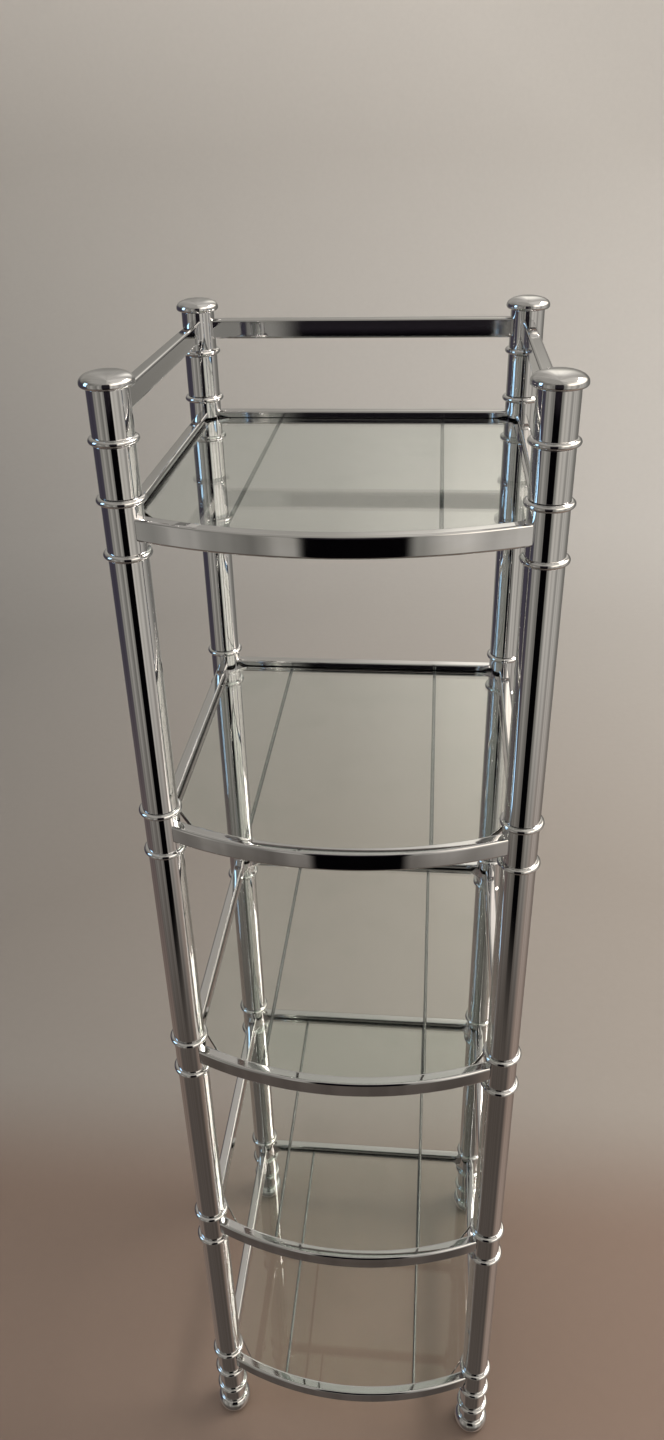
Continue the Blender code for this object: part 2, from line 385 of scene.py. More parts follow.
@dataclass(frozen=True)
class ZincSteel(Finish):
    """Zinc plated steel of the studs: a dull grey metal with bright and dull spangles.

    Attributes:
        slot: the record's material slot; not used.
        bright: colour of the brightest spangle.
        dull: colour of the dullest spangle.
        bright_blur: roughness of the brightest spangle.
        dull_blur: roughness of the dullest spangle.
        spangle_mm: width of a spangle.
    """

    slot: str = "zinc_plated_steel"
    bright: str = "#c2c3bf"
    dull: str = "#a3a49f"
    bright_blur: float = 0.3
    dull_blur: float = 0.5
    spangle_mm: float = 2.0

    @property
    def name(self) -> str:
        """Name of the material."""
        return "zinc_plated_steel"

    def draw(self, tree: bpy.types.NodeTree) -> None:
        """Draw the metal and its spangles.

        Args:
            tree: the material's empty node tree.
        """
        place = add_node(tree, "ShaderNodeTexCoord").outputs["Object"]
        spangle = add_node(
            tree, "ShaderNodeTexVoronoi", {"Vector": place, "Scale": per_metre(self.spangle_mm)}
        ).outputs["Distance"]
        blur = add_node(
            tree,
            "ShaderNodeMapRange",
            {"Value": spangle, "To Min": self.bright_blur, "To Max": self.dull_blur},
        )
        colour = add_node(
            tree,
            "ShaderNodeMix",
            {MIX_SHARE: spangle, MIX_FROM: linear_colour(self.bright), MIX_TO: linear_colour(self.dull)},
            data_type="RGBA",
        )
        steel = add_node(
            tree,
            "ShaderNodeBsdfPrincipled",
            {"Base Color": colour.outputs[MIX_COLOUR], "Metallic": 1.0, "Roughness": blur.outputs["Result"]},
        )
        add_node(tree, "ShaderNodeOutputMaterial", {"Surface": steel.outputs["BSDF"]})


@dataclass(frozen=True)
class SeamlessPaper(Finish):
    """Graduated studio paper: a matt sheet with a faint grain, brown under the unit, grey behind it.

    It has painted shade and light: lighter far off, towards the lit side and upwards. Mirrors look through
    it, to the room outside.

    Attributes:
        front: brown of the sheet under the unit and in front of it.
        back: grey of the sheet behind the unit.
        back_span: depths between which the brown gives way to the grey.
        far: grey of the sheet far off, all round, lighter than near the unit as painted shade.
        far_span: distances from the unit between which the two give way to it.
        lit_way: the way in which the sheet gets lighter, as painted light.
        lit_span: distances that way between which it does.
        lit_shares: share of its colour that it has at the two.
        grain: how much darker than the sheet its grain is.
        grain_mm: width of the grain, drawn coarse so that it shows.
        grain_detail: how ragged the grain is.
        roughness: blur of the sheet.
    """

    front: str = "#806c5f"
    back: str = "#968e86"
    back_span: tuple[float, float] = (0.1, 0.36)
    far: str = "#bdb9b4"
    far_span: tuple[float, float] = (1.0, 2.7)
    lit_way: Place = (1.0, 0.0, 1.3)
    lit_span: tuple[float, float] = (-1.3, 2.2)
    lit_shares: tuple[float, float] = (0.49, 1.45)
    grain: float = 0.05
    grain_mm: float = 14.0
    grain_detail: float = 6.0
    roughness: float = 0.75

    @property
    def name(self) -> str:
        """Name of the material."""
        return "graduated_studio_paper"

    def draw(self, tree: bpy.types.NodeTree) -> None:
        """Draw the sheet, its painted shading and its grain, clear for mirrors.

        Args:
            tree: the material's empty node tree.
        """
        place = add_node(tree, "ShaderNodeTexCoord").outputs["Object"]
        # Distance from the unit's middle, without the height
        level = add_node(tree, "ShaderNodeVectorMath", {0: place, 1: (1.0, 1.0, 0.0)}, operation="MULTIPLY")
        away = add_node(tree, "ShaderNodeVectorMath", {0: level.outputs["Vector"]}, operation="LENGTH")
        # Painted shade: the sheet is darker round the unit and lighter far off
        fade = add_node(
            tree,
            "ShaderNodeMapRange",
            {"Value": away.outputs["Value"], "From Min": self.far_span[0], "From Max": self.far_span[1]},
        )
        depth = add_node(tree, "ShaderNodeSeparateXYZ", {"Vector": place}).outputs["Y"]
        behind = add_node(
            tree,
            "ShaderNodeMapRange",
            {"Value": depth, "From Min": self.back_span[0], "From Max": self.back_span[1]},
            interpolation_type="SMOOTHSTEP",
        )
        around = add_node(
            tree,
            "ShaderNodeMix",
            {
                MIX_SHARE: behind.outputs["Result"],
                MIX_FROM: linear_colour(self.front),
                MIX_TO: linear_colour(self.back),
            },
            data_type="RGBA",
        )
        shade = add_node(
            tree,
            "ShaderNodeMix",
            {
                MIX_SHARE: fade.outputs["Result"],
                MIX_FROM: around.outputs[MIX_COLOUR],
                MIX_TO: linear_colour(self.far),
            },
            data_type="RGBA",
        )
        # Painted light: the sheet's colour is made lighter towards the lit side and upwards
        lit = add_node(tree, "ShaderNodeVectorMath", {0: place, 1: self.lit_way}, operation="DOT_PRODUCT")
        share = add_node(
            tree,
            "ShaderNodeMapRange",
            {
                "Value": lit.outputs["Value"],
                "From Min": self.lit_span[0],
                "From Max": self.lit_span[1],
                "To Min": self.lit_shares[0],
                "To Max": self.lit_shares[1],
            },
        )
        grain = add_node(
            tree,
            "ShaderNodeTexNoise",
            {"Vector": place, "Scale": per_metre(self.grain_mm), "Detail": self.grain_detail},
        )
        dimmed = add_node(
            tree,
            "ShaderNodeMapRange",
            {"Value": grain.outputs["Fac"], "To Min": 1.0, "To Max": 1.0 - self.grain},
        )
        strength = add_node(
            tree,
            "ShaderNodeMath",
            {0: share.outputs["Result"], 1: dimmed.outputs["Result"]},
            operation="MULTIPLY",
        )
        colour = add_node(
            tree,
            "ShaderNodeVectorMath",
            {0: shade.outputs[MIX_COLOUR], "Scale": strength.outputs["Value"]},
            operation="SCALE",
        )
        sheet = add_node(
            tree,
            "ShaderNodeBsdfPrincipled",
            {"Base Color": colour.outputs["Vector"], "Roughness": self.roughness},
        )
        clear = add_node(tree, "ShaderNodeBsdfTransparent")
        in_mirror = add_node(tree, "ShaderNodeLightPath").outputs["Glossy Depth"]
        mixed = add_node(
            tree, "ShaderNodeMixShader", {0: in_mirror, 1: sheet.outputs["BSDF"], 2: clear.outputs["BSDF"]}
        )
        add_node(tree, "ShaderNodeOutputMaterial", {"Surface": mixed.outputs["Shader"]})


@dataclass(frozen=True)
class FlagCloth(Finish):
    """Black cloth of a studio flag, greyer high up, which thins out towards its sides and its lower edge.

    Attributes:
        middle: place of its middle across.
        shade: colour of the cloth.
        upper_grey: colour of its upper part, greyer than the rest.
        grey_from: height where the grey starts.
        grey_to: height where all of it is grey.
        clear_below: height where the cloth has thinned to nothing.
        full_above: height where it is whole.
        clear_beyond: distance from the middle where it has thinned to nothing.
        full_within: distance from the middle where it is whole.
    """

    middle: float
    shade: str = "#08070a"
    upper_grey: str = "#2c2930"
    grey_from: float = 0.945
    grey_to: float = 0.97
    clear_below: float = -0.4
    full_above: float = 0.05
    clear_beyond: float = 0.31
    full_within: float = 0.24

    @property
    def name(self) -> str:
        """Name of the material."""
        return "black_flag_cloth"

    def draw(self, tree: bpy.types.NodeTree) -> None:
        """Draw the cloth, its greyer top and its thin edges, for mirrors alone.

        Args:
            tree: the material's empty node tree.
        """
        place = add_node(tree, "ShaderNodeTexCoord").outputs["Object"]
        split = add_node(tree, "ShaderNodeSeparateXYZ", {"Vector": place}).outputs
        height = split["Z"]
        greying = add_node(
            tree,
            "ShaderNodeMapRange",
            {"Value": height, "From Min": self.grey_from, "From Max": self.grey_to},
        )
        colour = add_node(
            tree,
            "ShaderNodeMix",
            {
                MIX_SHARE: greying.outputs["Result"],
                MIX_FROM: linear_colour(self.shade),
                MIX_TO: linear_colour(self.upper_grey),
            },
            data_type="RGBA",
        )
        low = add_node(
            tree,
            "ShaderNodeMapRange",
            {"Value": height, "From Min": self.clear_below, "From Max": self.full_above},
            interpolation_type="SMOOTHSTEP",
        )
        off = add_node(tree, "ShaderNodeMath", {0: split["X"], 1: self.middle}, operation="SUBTRACT")
        aside = add_node(tree, "ShaderNodeMath", {0: off.outputs["Value"]}, operation="ABSOLUTE")
        side = add_node(
            tree,
            "ShaderNodeMapRange",
            {
                "Value": aside.outputs["Value"],
                "From Min": self.clear_beyond,
                "From Max": self.full_within,
                "To Max": low.outputs["Result"],
            },
            interpolation_type="SMOOTHSTEP",
        )
        in_mirror = add_node(tree, "ShaderNodeLightPath").outputs["Glossy Depth"]
        share = add_node(
            tree,
            "ShaderNodeMath",
            {0: side.outputs["Result"], 1: in_mirror},
            operation="MULTIPLY",
            use_clamp=True,
        )
        clear = add_node(tree, "ShaderNodeBsdfTransparent")
        cloth = add_node(tree, "ShaderNodeBsdfDiffuse", {"Color": colour.outputs[MIX_COLOUR]})
        mixed = add_node(
            tree,
            "ShaderNodeMixShader",
            {0: share.outputs["Value"], 1: clear.outputs["BSDF"], 2: cloth.outputs["BSDF"]},
        )
        add_node(tree, "ShaderNodeOutputMaterial", {"Surface": mixed.outputs["Shader"]})


def arc_points(centre: Point, radii: Point, start: float, end: float, steps: int) -> list[Point]:
    """Points along an elliptical arc.

    Args:
        centre: middle of the ellipse.
        radii: its two half axes.
        start: first angle in degrees.
        end: last angle in degrees.
        steps: number of stretches between the points.

    Returns:
        The points, both ends included.
    """
    angles = [math.radians(start + (end - start) * i / steps) for i in range(steps + 1)]
    return [(centre[0] + radii[0] * math.cos(a), centre[1] + radii[1] * math.sin(a)) for a in angles]


def rounded_section(width: float, height: float, corner: float) -> list[Point]:
    """Outline of a rail's cross-section.

    Args:
        width: size across.
        height: size upright.
        corner: radius of its four corners.

    Returns:
        The points of the closed outline, anticlockwise.
    """
    x, y = width / 2 - corner, height / 2 - corner
    outline: list[Point] = []
    for quarter, centre in enumerate(((x, y), (-x, y), (-x, -y), (x, -y))):
        start = 90.0 * quarter
        outline += arc_points(centre, (corner, corner), start, start + 90, CORNER_STEPS)
    return outline


def sealed(work: bmesh.types.BMesh) -> bmesh.types.BMesh:
    """Merge a mesh's doubles and turn its faces outwards.

    Args:
        work: the mesh, which is changed itself.

    Returns:
        The same mesh.
    """
    bmesh.ops.remove_doubles(work, verts=work.verts, dist=WELD_DISTANCE)
    bmesh.ops.recalc_face_normals(work, faces=work.faces)
    return work


def turned(outline: Sequence[Point], foot: Vector, is_ring: bool) -> bmesh.types.BMesh:
    """A shape turned about an upright axis.

    Args:
        outline: radius and height of each point.
        foot: the point of the axis that the heights count from.
        is_ring: whether the outline closes on itself, as round a bore.

    Returns:
        The turned mesh.
    """
    work = bmesh.new()
    verts = [work.verts.new(foot + Vector((radius, 0, height))) for radius, height in outline]
    nexts = verts[1:] + verts[:1] if is_ring else verts[1:]
    edges = [work.edges.new(pair) for pair in zip(verts, nexts)]
    bmesh.ops.spin(
        work,
        geom=verts + edges,
        cent=foot,
        axis=(0, 0, 1),
        dvec=(0, 0, 0),
        angle=math.tau,
        steps=TURN_STEPS,
        use_merge=True,
    )
    return sealed(work)


def straight_rail(section: Sequence[Point], start: Vector, end: Vector) -> bmesh.types.BMesh:
    """A straight level rail between two points.

    Args:
        section: outline of the cross-section.
        start: middle of one end.
        end: middle of the other end.

    Returns:
        The closed mesh.
    """
    along = end - start
    across = Vector((-along.y, along.x, 0)).normalized()
    work = bmesh.new()
    face = work.faces.new([work.verts.new(start + across * u + Vector((0, 0, v))) for u, v in section])
    grown = bmesh.ops.extrude_face_region(work, geom=[face])
    moved = [item for item in grown["geom"] if isinstance(item, bmesh.types.BMVert)]
    bmesh.ops.translate(work, verts=moved, vec=along)
    return sealed(work)


def as_object(name: str, work: bmesh.types.BMesh, finish: Finish) -> bpy.types.Object:
    """Make a mesh an object of the scene.

    Args:
        name: the object's name.
        work: its mesh, in place; it is used up.
        finish: what it is made of.

    Returns:
        The object.
    """
    mesh = bpy.data.meshes.new(name)
    work.to_mesh(mesh)
    work.free()
    mesh.materials.append(finish.material())
    mesh.shade_smooth()
    mesh.set_sharp_from_angle(angle=SMOOTH_ANGLE)
    made = bpy.data.objects.new(name, mesh)
    bpy.context.scene.collection.objects.link(made)
    shading = made.modifiers.new("flat_faces_stay_flat", "WEIGHTED_NORMAL")
    shading.mode = "FACE_AREA"
    shading.keep_sharp = True
    return made


def set_down(name: str, work: bmesh.types.BMesh, finish: Finish, body: str, node: str) -> bpy.types.Object:
    """Make a mesh a piece of the unit that rides on a body and stands for a node.

    Args:
        name: the piece's name.
        work: its mesh, in place; it is used up.
        finish: what the piece is made of.
        body: the body that it moves with.
        node: the node that it stands for, alone or with others.

    Returns:
        The piece.
    """
    piece = as_object(name, work, finish)
    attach(piece, body)
    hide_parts(node)
    LOG.info("%s: %d faces, on %s", name, len(piece.data.polygons), body)
    return piece


@dataclass(frozen=True)
class PostPlan:
    """Places and thickness of the posts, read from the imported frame.

    Attributes:
        axes: the foot of each post's axis, on the floor.
        tube_radius: outer radius of the post tubes.
        tube_wall: wall of the post tubes.
        bore_radius: radius of the bores that the studs pass through.
        plug_depth: depth of the plugs in the tubes' ends.
        bead_proud: how far a bead stands out from the tube.
        bead_height: height of a bead.
    """

    axes: dict[Corner, Vector]
    tube_radius: float
    tube_wall: float = 0.0012
    bore_radius: float = 0.0043
    plug_depth: float = 0.012
    bead_proud: float = 0.003
    bead_height: float = 0.005

    @classmethod
    def from_frame(cls) -> "PostPlan":
        """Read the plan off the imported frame.

        Returns:
            The plan of the posts.
        """
        axes = {}
        for corner in Corner:
            low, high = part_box(f"foot_{corner.value}")
            axes[corner] = Vector(((low.x + high.x) / 2, (low.y + high.y) / 2, 0))
        low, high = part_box("post_tube_1_front_left")
        return cls(axes=axes, tube_radius=(high.x - low.x) / 2)

    def bead(self, middle: float) -> list[Point]:
        """Outline of a half-round bead about a height, from its top down."""
        size = (self.bead_proud, self.bead_height / 2)
        return arc_points((self.tube_radius, middle), size, 90, -90, ROUND_STEPS)


@dataclass(frozen=True)
class FinialCap:
    """Domed button on top of a post, with the shank that screws it down.

    Attributes:
        plan: the posts.
        corner: the post that it tops.
        dome_height: height of the dome above the cap's widest line.
        rim_rise: height of that line above the underside.
        underside_radius: radius of the flat underside.
        shank_radius: radius of the shank.
        fullness: power of the dome's outline, 2 for an ellipse.
    """

    plan: PostPlan
    corner: Corner
    dome_height: float = 0.0075
    rim_rise: float = 0.0023
    underside_radius: float = 0.0155
    shank_radius: float = 0.004
    fullness: float = 2.35

    def dome(self, rim: float, rim_z: float) -> list[Point]:
        """Outline of the dome, from its top down.

        Args:
            rim: radius of the cap's widest line.
            rim_z: height of that line.

        Returns:
            The points, both ends included.
        """
        power = 2 / self.fullness
        quarter = arc_points((0, 0), (1, 1), 90, 0, 2 * ROUND_STEPS)
        return [(rim * max(x, 0) ** power, rim_z + self.dome_height * max(y, 0) ** power) for x, y in quarter]

    def build(self) -> None:
        """Turn the cap and set it down."""
        node = f"finial_cap_{self.corner.value}"
        low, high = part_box(node)
        rim = (high.x - low.x) / 2
        rim_z = high.z - self.dome_height
        underside = rim_z - self.rim_rise
        lip_size = (rim - self.underside_radius, self.rim_rise)
        lip = arc_points((self.underside_radius, rim_z), lip_size, 0, -90, ROUND_STEPS)
        shank = [(self.shank_radius, underside), (self.shank_radius, low.z), (0.0, low.z)]
        outline = self.dome(rim, rim_z) + lip[1:] + shank
        work = turned(outline, self.plan.axes[self.corner], is_ring=False)
        set_down(node, work, ChromePlate(PolishLay.UPRIGHT), FRAME_BODY, node)


@dataclass(frozen=True)
class PostLength:
    """Plain length of a post: a long tube with plugged ends, or the short thick neck under the gallery.

    Attributes:
        plan: the posts.
        corner: the post that it belongs to.
        node: the node that it stands for.
        is_thin: whether it is a thin tube with plugs in its ends.
        edge: radius of its rounded end edges.
    """

    plan: PostPlan
    corner: Corner
    node: str
    is_thin: bool
    edge: float = 0.0004

    def build(self) -> None:
        """Turn the length and set it down."""
        plan = self.plan
        bore = plan.bore_radius
        low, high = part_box(self.node)
        rim = plan.tube_radius - self.edge
        round_size = (self.edge, self.edge)
        outline = [(bore, high.z)]
        outline += arc_points((rim, high.z - self.edge), round_size, 90, 0, CORNER_STEPS)
        outline += arc_points((rim, low.z + self.edge), round_size, 0, -90, CORNER_STEPS)
        outline.append((bore, low.z))
        if self.is_thin:
            inside = plan.tube_radius - plan.tube_wall
            floor, roof = low.z + plan.plug_depth, high.z - plan.plug_depth
            outline += [(bore, floor), (inside, floor), (inside, roof), (bore, roof)]
        work = turned(outline, plan.axes[self.corner], is_ring=True)
        set_down(self.node, work, ChromePlate(PolishLay.UPRIGHT), FRAME_BODY, self.node)


@dataclass(frozen=True)
class TurnedFoot:
    """Foot of a post: a hollow neck with a bead over a flattened bun.

    Attributes:
        plan: the posts.
        corner: the post that it carries.
        bead_rise: height of its bead above the floor.
        bun_rise: height of the bun's widest line.
        bun_shoulder: height of the bun above that line.
        pad_radius: radius of the flat underside.
    """

    plan: PostPlan
    corner: Corner
    bead_rise: float = 0.042
    bun_rise: float = 0.0105
    bun_shoulder: float = 0.0085
    pad_radius: float = 0.012

    def build(self) -> None:
        """Turn the foot and set it down."""
        plan = self.plan
        node = f"foot_{self.corner.value}"
        low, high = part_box(node)
        bun_radius = (high.x - low.x) / 2
        inside = plan.tube_radius - plan.tube_wall
        floor = self.bun_rise + self.bun_shoulder
        plug = high.z - plan.plug_depth
        shoulder_size = (bun_radius - plan.tube_radius, self.bun_shoulder)
        bun_size = (bun_radius - self.pad_radius, self.bun_rise)
        shoulder = arc_points((plan.tube_radius, self.bun_rise), shoulder_size, 90, 0, ROUND_STEPS)
        bun = arc_points((self.pad_radius, self.bun_rise), bun_size, 0, -90, ROUND_STEPS)
        outline = [
            (0.0, floor),
            (inside, floor),
            (inside, plug),
            (plan.bore_radius, plug),
            (plan.bore_radius, high.z),
            (plan.tube_radius, high.z),
            *plan.bead(self.bead_rise),
            *shoulder,
            *bun[1:],
            (0.0, low.z),
        ]
        work = turned(outline, plan.axes[self.corner], is_ring=False)
        set_down(node, work, ChromePlate(PolishLay.UPRIGHT), FRAME_BODY, node)


@dataclass(frozen=True)
class RailFrame:
    """Base of the chromed frames: four bored hubs with rails run into them.

    Attributes:
        plan: the posts.
        node: the frame's node.
        rail_width: width of its rails.
        rail_height: height of its rails.
        rail_corner: radius of the rails' edges.
    """

    plan: PostPlan
    node: str
    rail_width: float = 0.010
    rail_height: float = 0.016
    rail_corner: float = 0.0022

    @property
    def seat(self) -> float:
        """How near the post's axis a rail's end comes, inside the hub's wall."""
        return (self.plan.bore_radius + self.plan.tube_radius) / 2

    @property
    def rail_level(self) -> float:
        """Height of the rails' middle."""
        raise NotImplementedError

    def hub_outline(self) -> list[Point]:
        """Outline of one hub, at its height in the unit."""
        raise NotImplementedError

    def dress(self, name: str, work: bmesh.types.BMesh, finish: ChromePlate) -> None:
        """Set a piece of the frame down in its finish.

        Args:
            name: the piece's name inside the frame.
            work: its mesh, in place; it is used up.
            finish: what it is made of.
        """
        set_down(f"{self.node}_{name}", work, finish, FRAME_BODY, self.node)

    def build_hubs(self) -> None:
        """Turn a hub at each post."""
        outline = self.hub_outline()
        finish = ChromePlate(PolishLay.UPRIGHT)
        for corner, foot in self.plan.axes.items():
            self.dress(f"hub_{corner.value}", turned(outline, foot, is_ring=True), finish)

    def build_straight_rails(self) -> None:
        """Run a back rail and two side rails between the hubs."""
        section = rounded_section(self.rail_width, self.rail_height, self.rail_corner)
        level = Vector((0, 0, self.rail_level))
        across, along = Vector((self.seat, 0, 0)), Vector((0, self.seat, 0))
        posts = {corner: foot + level for corner, foot in self.plan.axes.items()}
        back = straight_rail(section, posts[Corner.BACK_LEFT] + across, posts[Corner.BACK_RIGHT] - across)
        left = straight_rail(section, posts[Corner.FRONT_LEFT] + along, posts[Corner.BACK_LEFT] - along)
        right = straight_rail(section, posts[Corner.FRONT_RIGHT] + along, posts[Corner.BACK_RIGHT] - along)
        self.dress("back_rail", back, ChromePlate(PolishLay.ALONG_X))
        self.dress("left_rail", left, ChromePlate(PolishLay.ALONG_Y))
        self.dress("right_rail", right, ChromePlate(PolishLay.ALONG_Y))


@dataclass(frozen=True)
class GalleryFrame(RailFrame):
    """Low gallery round the top: a back rail and two side rails on hubs with one bead each.

    Attributes:
        rail_rise: height of the rails' middle above the hubs' lower ends.
        edge: radius of the hubs' rounded top edge.
    """

    rail_rise: float = 0.021
    edge: float = 0.0004

    @property
    def rail_level(self) -> float:
        """Height of the rails' middle."""
        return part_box(self.node)[0].z + self.rail_rise

    def hub_outline(self) -> list[Point]:
        """Outline of a gallery hub, with its bead at the lower end.

        Returns:
            The points of the closed outline, at their heights in the unit.
        """
        plan = self.plan
        low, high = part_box(self.node)
        rim = (plan.tube_radius - self.edge, high.z - self.edge)
        top = arc_points(rim, (self.edge, self.edge), 90, 0, CORNER_STEPS)
        bead = plan.bead(low.z + plan.bead_height / 2)
        return [(plan.bore_radius, high.z), *top, *bead, (plan.bore_radius, low.z)]

    def build(self) -> None:
        """Build the hubs and the three rails."""
        self.build_hubs()
        self.build_straight_rails()


@dataclass(frozen=True)
class ShelfFrame(RailFrame):
    """Frame of one shelf: hubs with two beads each, a bowed front rail, three straight rails, two wires.

    Attributes:
        wire_radius: radius of the wires that carry the glass.
        wire_offset: distance of each wire from the middle.
        wire_drop: how far the wires lie below the rails' middle.
    """

    wire_radius: float = 0.0016
    wire_offset: float = 0.072
    wire_drop: float = 0.005

    @property
    def rail_level(self) -> float:
        """Height of the rails' middle."""
        low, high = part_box(self.node)
        return (low.z + high.z) / 2

    @property
    def bow(self) -> tuple[Vector, float]:
        """Bow of the front rail's middle line.

        Returns:
            Its centre and its radius.
        """
        left, right = self.plan.axes[Corner.FRONT_LEFT], self.plan.axes[Corner.FRONT_RIGHT]
        half = (right.x - left.x) / 2
        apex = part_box(self.node)[0].y + self.rail_width / 2
        rise = left.y - apex
        radius = (half**2 + rise**2) / (2 * rise)
        return Vector(((left.x + right.x) / 2, apex + radius, self.rail_level)), radius

    def hub_outline(self) -> list[Point]:
        """Outline of a shelf hub, with a bead at each end.

        Returns:
            The points of the closed outline, at their heights in the unit.
        """
        plan = self.plan
        low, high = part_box(self.node)
        half = plan.bead_height / 2
        beads = plan.bead(high.z - half) + plan.bead(low.z + half)
        return [(plan.bore_radius, high.z), *beads, (plan.bore_radius, low.z)]

    def build_front_rail(self) -> None:
        """Sweep the front rail round its bow, from hub to hub."""
        centre, radius = self.bow
        half = self.plan.axes[Corner.FRONT_RIGHT].x - centre.x
        reach = math.asin(half / radius) - self.seat / radius
        section = rounded_section(self.rail_width, self.rail_height, self.rail_corner)
        work = bmesh.new()
        verts = [work.verts.new(centre + Vector((0, u - radius, v))) for u, v in section]
        edges = [work.edges.new(pair) for pair in zip(verts, verts[1:] + verts[:1])]
        bmesh.ops.rotate(work, cent=centre, matrix=Matrix.Rotation(-reach, 3, "Z"), verts=verts)
        bmesh.ops.spin(
            work,
            geom=verts + edges,
            cent=centre,
            axis=(0, 0, 1),
            dvec=(0, 0, 0),
            angle=2 * reach,
            steps=BOW_STEPS,
            use_merge=False,
        )
        bmesh.ops.holes_fill(work, edges=[edge for edge in work.edges if edge.is_boundary], sides=0)
        self.dress("front_rail", sealed(work), ChromePlate(PolishLay.ALONG_X))

    def build_wires(self) -> None:
        """Run the two wires from the back rail to the front rail."""
        centre, radius = self.bow
        back = self.plan.axes[Corner.BACK_LEFT].y
        front = centre.y - math.sqrt(radius**2 - self.wire_offset**2)
        for side, name in ((-1, "left_wire"), (1, "right_wire")):
            across = centre.x + side * self.wire_offset
            middle = Vector((across, (front + back) / 2, centre.z - self.wire_drop))
            work = bmesh.new()
            bmesh.ops.create_cone(
                work,
                cap_ends=True,
                segments=WIRE_STEPS,
                radius1=self.wire_radius,
                radius2=self.wire_radius,
                depth=back - front,
                matrix=Matrix.Translation(middle) @ Matrix.Rotation(math.pi / 2, 4, "X"),
            )
            self.dress(name, sealed(work), DrawnWireWithPaintedShade(PolishLay.ALONG_Y))

    def build(self) -> None:
        """Build the hubs, the rails and the wires."""
        self.build_hubs()
        self.build_front_rail()
        self.build_straight_rails()
        self.build_wires()


@dataclass(frozen=True)
class GlassPane:
    """Loose pane on a shelf's wires, bowed at the front, with clipped corners and polished edges.

    Attributes:
        frame: the shelf frame that it lies in.
        tier: its number, counted from the floor.
        edge_gap: gap to the front rail.
        bead_gap: gap to the hubs' beads.
        front_clip: direction that the front corners are cut off in, in degrees from the side.
        back_clip: the same for the back corners.
        corner_radius: rounding of the outline's corners.
        turn: sharpest bend of the outline, in degrees, that isn't a corner.
        polish: width of the polished round along the edges.
        polish_steps: facets across that round.
    """

    frame: ShelfFrame
    tier: int
    edge_gap: float = 0.0015
    bead_gap: float = 0.0025
    front_clip: float = 35.0
    back_clip: float = 45.0
    corner_radius: float = 0.003
    turn: float = 12.0
    polish: float = 0.0007
    polish_steps: int = 3

    def flat_outline(self) -> bmesh.types.BMesh:
        """Lay the pane out flat, before its corners are clipped.

        Returns:
            One flat face at the height of the pane's underside.
        """
        low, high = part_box(f"glass_shelf_{self.tier}")
        centre, radius = self.frame.bow
        radius -= self.frame.rail_width / 2 + self.edge_gap
        reach = math.degrees(math.asin((high.x - centre.x) / radius))
        front = arc_points((centre.x, centre.y), (radius, radius), -90 - reach, -90 + reach, BOW_STEPS)
        outline = [*front, (high.x, high.y), (low.x, high.y)]
        work = bmesh.new()
        work.faces.new([work.verts.new((x, y, low.z)) for x, y in outline])
        return work

    def clip(self, work: bmesh.types.BMesh, corner: Corner) -> None:
        """Cut one corner off the flat pane, clear of the hub's beads.

        Args:
            work: the flat pane.
            corner: the corner to cut.
        """
        plan = self.frame.plan
        angle = math.radians(self.front_clip if corner.depth < 0 else self.back_clip)
        outward = Vector((corner.side * math.cos(angle), corner.depth * math.sin(angle), 0))
        keep_off = plan.tube_radius + plan.bead_proud + self.bead_gap
        on_cut = plan.axes[corner] - keep_off * outward
        bmesh.ops.bisect_plane(
            work,
            geom=work.verts[:] + work.edges[:] + work.faces[:],
            plane_co=(on_cut.x, on_cut.y, 0),
            plane_no=outward,
            clear_outer=True,
        )

    def round_corners(self, work: bmesh.types.BMesh) -> None:
        """Round the corners of the pane's outline.

        Args:
            work: the flat pane.
        """
        bends = []
        for vert in work.verts:
            first, second = ((edge.other_vert(vert).co - vert.co) for edge in vert.link_edges)
            if math.degrees(math.pi - first.angle(second)) > self.turn:
                bends.append(vert)
        bmesh.ops.bevel(
            work,
            geom=bends,
            offset=self.corner_radius,
            offset_type="OFFSET",
            segments=CORNER_STEPS,
            profile=0.5,
            affect="VERTICES",
            material=-1,
        )

    def polish_edges(self, work: bmesh.types.BMesh) -> None:
        """Round the long edges of the pane.

        Args:
            work: the thick pane.
        """
        level = {face for face in work.faces if abs(face.normal.z) > LEVEL_SHARE}
        rims = [edge for edge in work.edges if sum(face in level for face in edge.link_faces) == 1]
        bmesh.ops.bevel(
            work,
            geom=rims,
            offset=self.polish,
            offset_type="OFFSET",
            segments=self.polish_steps,
            profile=0.5,
            affect="EDGES",
            material=-1,
        )

    def build(self) -> None:
        """Cut the pane, round its corners, polish its edges and set it down."""
        node = f"glass_shelf_{self.tier}"
        low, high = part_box(node)
        work = self.flat_outline()
        for corner in Corner:
            self.clip(work, corner)
        self.round_corners(work)
        grown = bmesh.ops.extrude_face_region(work, geom=work.faces[:])
        lifted = [item for item in grown["geom"] if isinstance(item, bmesh.types.BMVert)]
        bmesh.ops.translate(work, verts=lifted, vec=(0, 0, high.z - low.z))
        self.polish_edges(sealed(work))
        pane = set_down(node, sealed(work), FloatGlass(), f"pane_{self.tier}", node)
        # A clear pane hardly dims the light, and its drawn shadow would be a full one
        pane.visible_shadow = False


@dataclass(frozen=True)
class JoiningStuds:
    """Steel studs inside the posts, which keep their own solids and get their finish.

    Attributes:
        finish: the studs' metal.
    """

    finish: ZincSteel = ZincSteel()

    def dress(self, nodes: dict[str, bpy.types.Object]) -> None:
        """Give every stud its metal.

        Args:
            nodes: the frame's nodes by name.
        """
        for name in sorted(nodes):
            if name.startswith("stud_"):
                nodes[name].data.materials.clear()
                nodes[name].data.materials.append(self.finish.material())
                LOG.info("%s: dressed in %s", name, self.finish.name)


